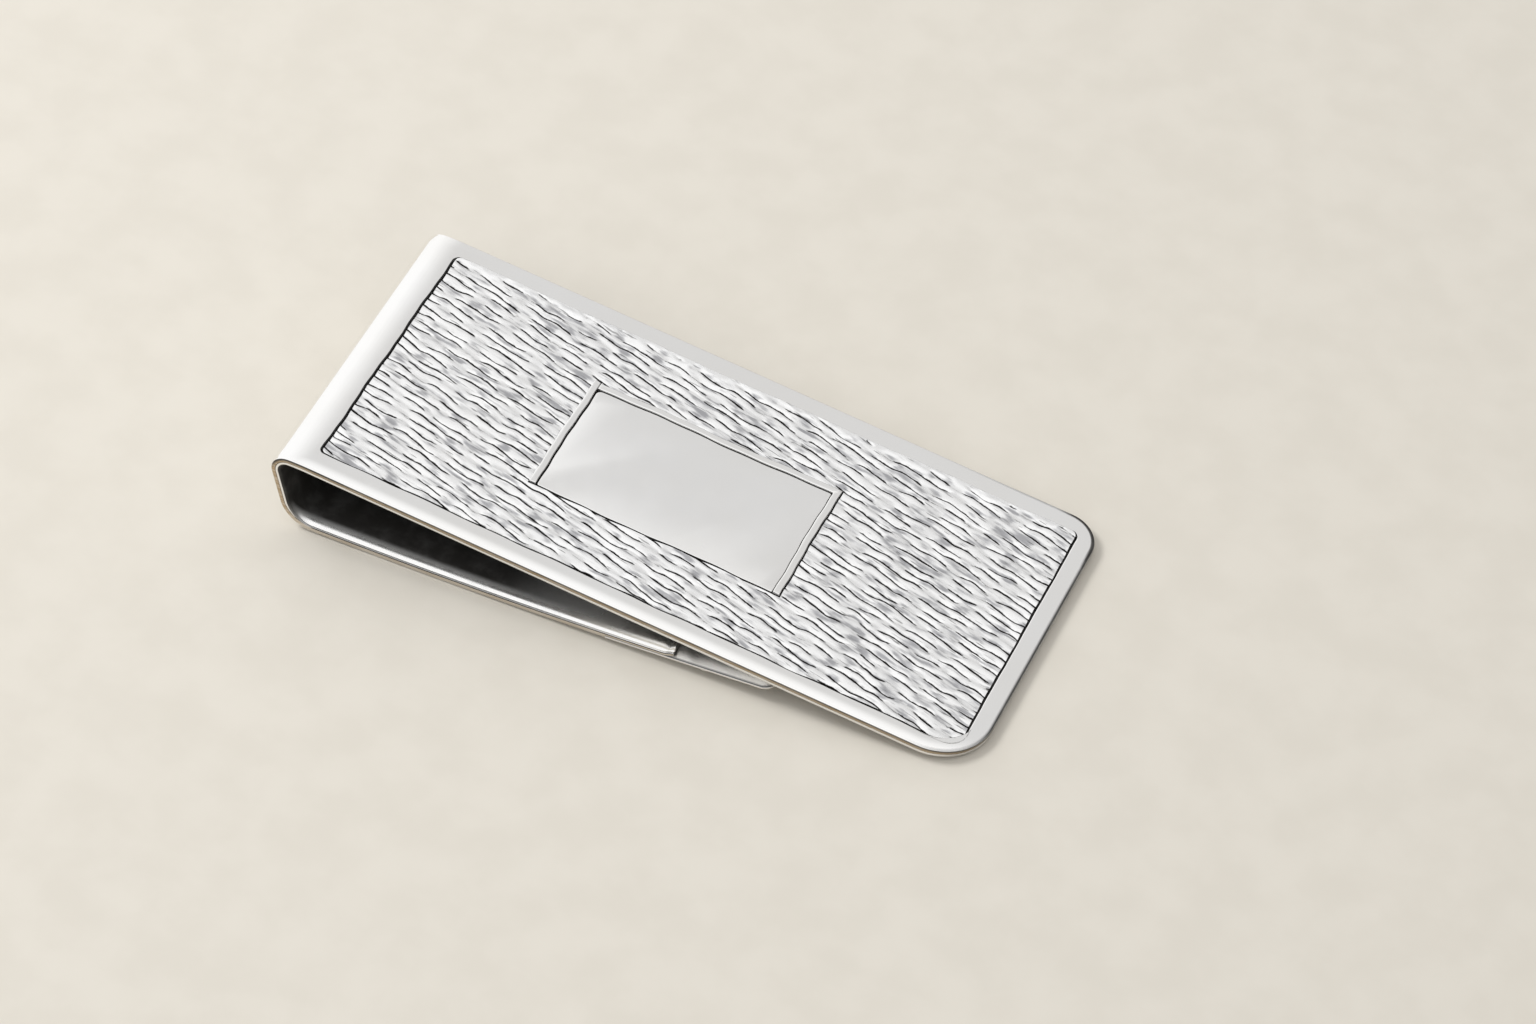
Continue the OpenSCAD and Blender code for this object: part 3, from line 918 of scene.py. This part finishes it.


def tongue():
    """The tongue, with round corners at its tip, a softly rolled rim and two solder drops."""
    shape = Shape()
    under_r, rim_r, rim_w, rim_drop = 0.1, 0.06, 1.7, 0.33
    profile = [(1.2, 0.0), (0.5, 0.0)]
    profile += [(under_r * (1 - math.sin(a)), under_r * (1 - math.cos(a)))
                for a in np.linspace(0, math.pi / 2, 6)]
    side_from = len(profile)

    def roll(inset):
        return TONGUE_T - rim_drop * max(0.0, 1 - inset / rim_w) ** 2

    profile += [(rim_r * (1 - math.cos(a)), roll(rim_r) - rim_r * (1 - math.sin(a)))
                for a in np.linspace(0, math.pi / 2 - 0.3, 6)]
    # Painted shade line along the rim's rounding
    dark = {len(profile) - 2 + k: strength for k, strength in enumerate(TONGUE_LINE)}
    profile += [(i, roll(i)) for i in np.linspace(rim_r + 0.02, rim_w + 0.1, 14)]
    profile += [(2.2, TONGUE_T), (3.0, TONGUE_T)]
    lap = (REAR_LEN - LAP_LEN, REAR_LEN - 2.5, REAR_LEN - 0.03, REAR_LEN + 0.03)
    rings = []
    for k, (inset, depth) in enumerate(profile):
        path = plan_path(lap, REAR_LEN + 0.1, REAR_LEN + TONGUE_LEN, inset,
                         (TONGUE_CORNER_R, TONGUE_CORNER_R), side_steps=26)
        spots = [tongue_point(u, depth if u > REAR_LEN else min(depth, LAP_FLOOR - 0.01))
                 for u, _ in path]
        # A painted tan reflection on the tongue's side
        tan = 0.4 * (side_from <= k < side_from + 3)
        rings.append(shape.ring([(s[0], y, s[1]) for s, (_, y) in zip(spots, path)],
                                dark.get(k, 0.0), tan))
    shape.skin(rings)
    shape.across(rings[0])
    shape.across(rings[-1])
    shape.open_end(rings)
    bead(shape, REAR_LEN + 2.1, 0.42, 0.17)
    bead(shape, REAR_LEN + 4.0, 0.26, 0.12)
    return add_piece("tongue_plate", shape, TONGUE)


def rivets():
    """Two rivets: a low dome outside, and a flush shank end with a fine ring inside."""
    shape = Shape()
    dome_r = (HEAD_R ** 2 + HEAD_H ** 2) / (2 * HEAD_H)
    head = [HEAD_R * math.sin(a) for a in np.linspace(0.05, math.pi / 2, 9)]
    profile = [(r, dome_r - HEAD_H - math.sqrt(dome_r ** 2 - r ** 2)) for r in head]
    shank_r, bevel, sunk = 0.6, 0.03, STRIP_T - 0.012
    profile += [(shank_r, 0.0), (shank_r, STRIP_T - bevel), (shank_r - bevel, STRIP_T),
                (0.48, STRIP_T), (0.42, sunk), (0.05, sunk)]
    around = np.linspace(0, 2 * math.pi, 37)[:-1]
    for side in (-1, 1):
        rings = []
        for r, depth in profile:
            spots = [arm_point(REAR_LEN - LAP_LEN / 2 + r * math.cos(a), depth) for a in around]
            ys = [side * RIVET_SPACING / 2 + r * math.sin(a) for a in around]
            rings.append(shape.ring([(s[0], y, s[1]) for s, y in zip(spots, ys)]))
        shape.tube(rings)
    return add_piece("rivet_heads", shape, RIVET)


# ---------------------------------------------------------------- the pieces in their places
PLACES = [
    (front_plate(), "front", "front_leaf", "strip_silver"),
    (cover_border(), "front", "front_border", "polished_silver"),
    (engine_panel(), "front", "engine_turned_panel", "engine_turned_silver"),
    (name_tablet(), "front", "name_tablet", "polished_silver"),
    (rear_strip(), "rear_arm", "rear_leaf", "strip_silver"),
    (tongue(), "rear_arm", "spring_tongue", "strip_silver"),
    (rivets(), "rear_arm", "tongue_rivets", "rivet_silver"),
]
for bar, node in zip(rails(), ("bow_end_rail", "free_end_rail", "far_side_rail")):
    PLACES.append((bar, "front", node, "polished_silver"))
for piece, body, node, finish in PLACES:
    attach(piece, body)
    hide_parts(node)
bend = bow()
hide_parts("spring_bow")


# ---------------------------------------------------------------- floor, light and camera
def studio_floor():
    """A wide, plain pale floor under the clip."""
    material = bpy.data.materials.new("pale_floor")
    n = Nodes(material)
    place = n.add("ShaderNodeTexCoord").outputs["Object"]
    grain = n.noise(place, 240.0, 3.0)
    colour = n.mix(n.ramp(grain, 0.3, 0.7), rgb(0.615, 0.58, 0.515), rgb(0.64, 0.605, 0.54))
    shader = n.add("ShaderNodeBsdfPrincipled", {"Base Color": colour, "Roughness": 0.9,
                                                "Specular IOR Level": 0.1})
    n.add("ShaderNodeOutputMaterial", {"Surface": shader.outputs[0]})
    mesh = bpy.data.meshes.new("studio_floor")
    half = 3.0
    mesh.from_pydata([(-half, -half, 0), (half, -half, 0), (half, half, 0), (-half, half, 0)], [],
                     [(0, 1, 2, 3)])
    mesh.materials.append(material)
    floor = bpy.data.objects.new("studio_floor", mesh)
    bpy.context.scene.collection.objects.link(floor)


def studio_world():
    """Soft studio surround: white above and on the left, grey at the back, dark behind the lens."""
    world = bpy.data.worlds.new("studio")
    bpy.context.scene.world = world
    n = Nodes(world)
    direction = n.add("ShaderNodeTexCoord").outputs["Generated"]
    split = n.add("ShaderNodeSeparateXYZ", {0: direction})
    x, y, z = split.outputs
    back = n.ramp(y, 0.35, -0.25, 0.715, 0.10)
    low_band = n.ramp(n.math("SUBTRACT", z, n.ramp(x, 0.15, 0.6, 0.0, 0.3)), 0.08, 0.45, 0.05, 1.0)
    top = n.ramp(z, 0.82, 0.96)
    left = n.ramp(x, -0.15, -0.31)
    near = n.math("MULTIPLY", n.ramp(y, 0.25, -0.05), n.ramp(z, 0.30, 0.55))
    white = n.math("MAXIMUM", n.math("MAXIMUM", top, near), left)
    plain = n.math("MULTIPLY", n.math("MULTIPLY", back, low_band), n.math("SUBTRACT", 1.0, white))
    level = n.math("ADD", plain, n.math("MULTIPLY", white, 1.04))
    tint = n.mix(white, rgb(1.0, 0.995, 0.99), rgb(1.0, 1.0, 1.0))
    ground = n.add("ShaderNodeBackground", {"Color": tint, "Strength": level})
    n.add("ShaderNodeOutputWorld", {"Surface": ground.outputs[0]})


def key_light():
    """A large soft key from the upper left, kept out of the mirror faces."""
    data = bpy.data.lights.new("key", "AREA")
    data.shape = "DISK"
    data.size = 0.16
    data.energy = 1.0
    light = bpy.data.objects.new("key", data)
    light.location = (-0.30, -0.02, 0.32)
    light.rotation_mode = "QUATERNION"
    light.rotation_quaternion = (-light.location).to_track_quat("-Z", "Y")
    light.visible_glossy = False
    bpy.context.scene.collection.objects.link(light)


def camera():
    """The camera stands off the near side and looks down at the front face."""
    azimuth, elevation, roll = math.radians(20.716), math.radians(47.134), math.radians(4.383)
    aim, distance = Vector((0.00522, 0.001039, 0.003)), 0.4003
    data = bpy.data.cameras.new("camera")
    data.sensor_width = 36.0
    data.lens = 140.13
    data.clip_start, data.clip_end = 0.02, 20.0
    eye = bpy.data.objects.new("camera", data)
    back = Vector((math.sin(azimuth) * math.cos(elevation),
                   -math.cos(azimuth) * math.cos(elevation), math.sin(elevation)))
    level = Vector((math.cos(azimuth), math.sin(azimuth), 0))
    right = level * math.cos(roll) + back.cross(level) * math.sin(roll)
    up = back.cross(right)
    eye.matrix_world = Matrix((right, up, back)).transposed().to_4x4()
    eye.location = aim + back * distance
    bpy.context.scene.collection.objects.link(eye)
    bpy.context.scene.camera = eye


studio_floor()
studio_world()
key_light()
camera()
bpy.context.scene.view_settings.view_transform = "Standard"

bpy.context.view_layer.update()
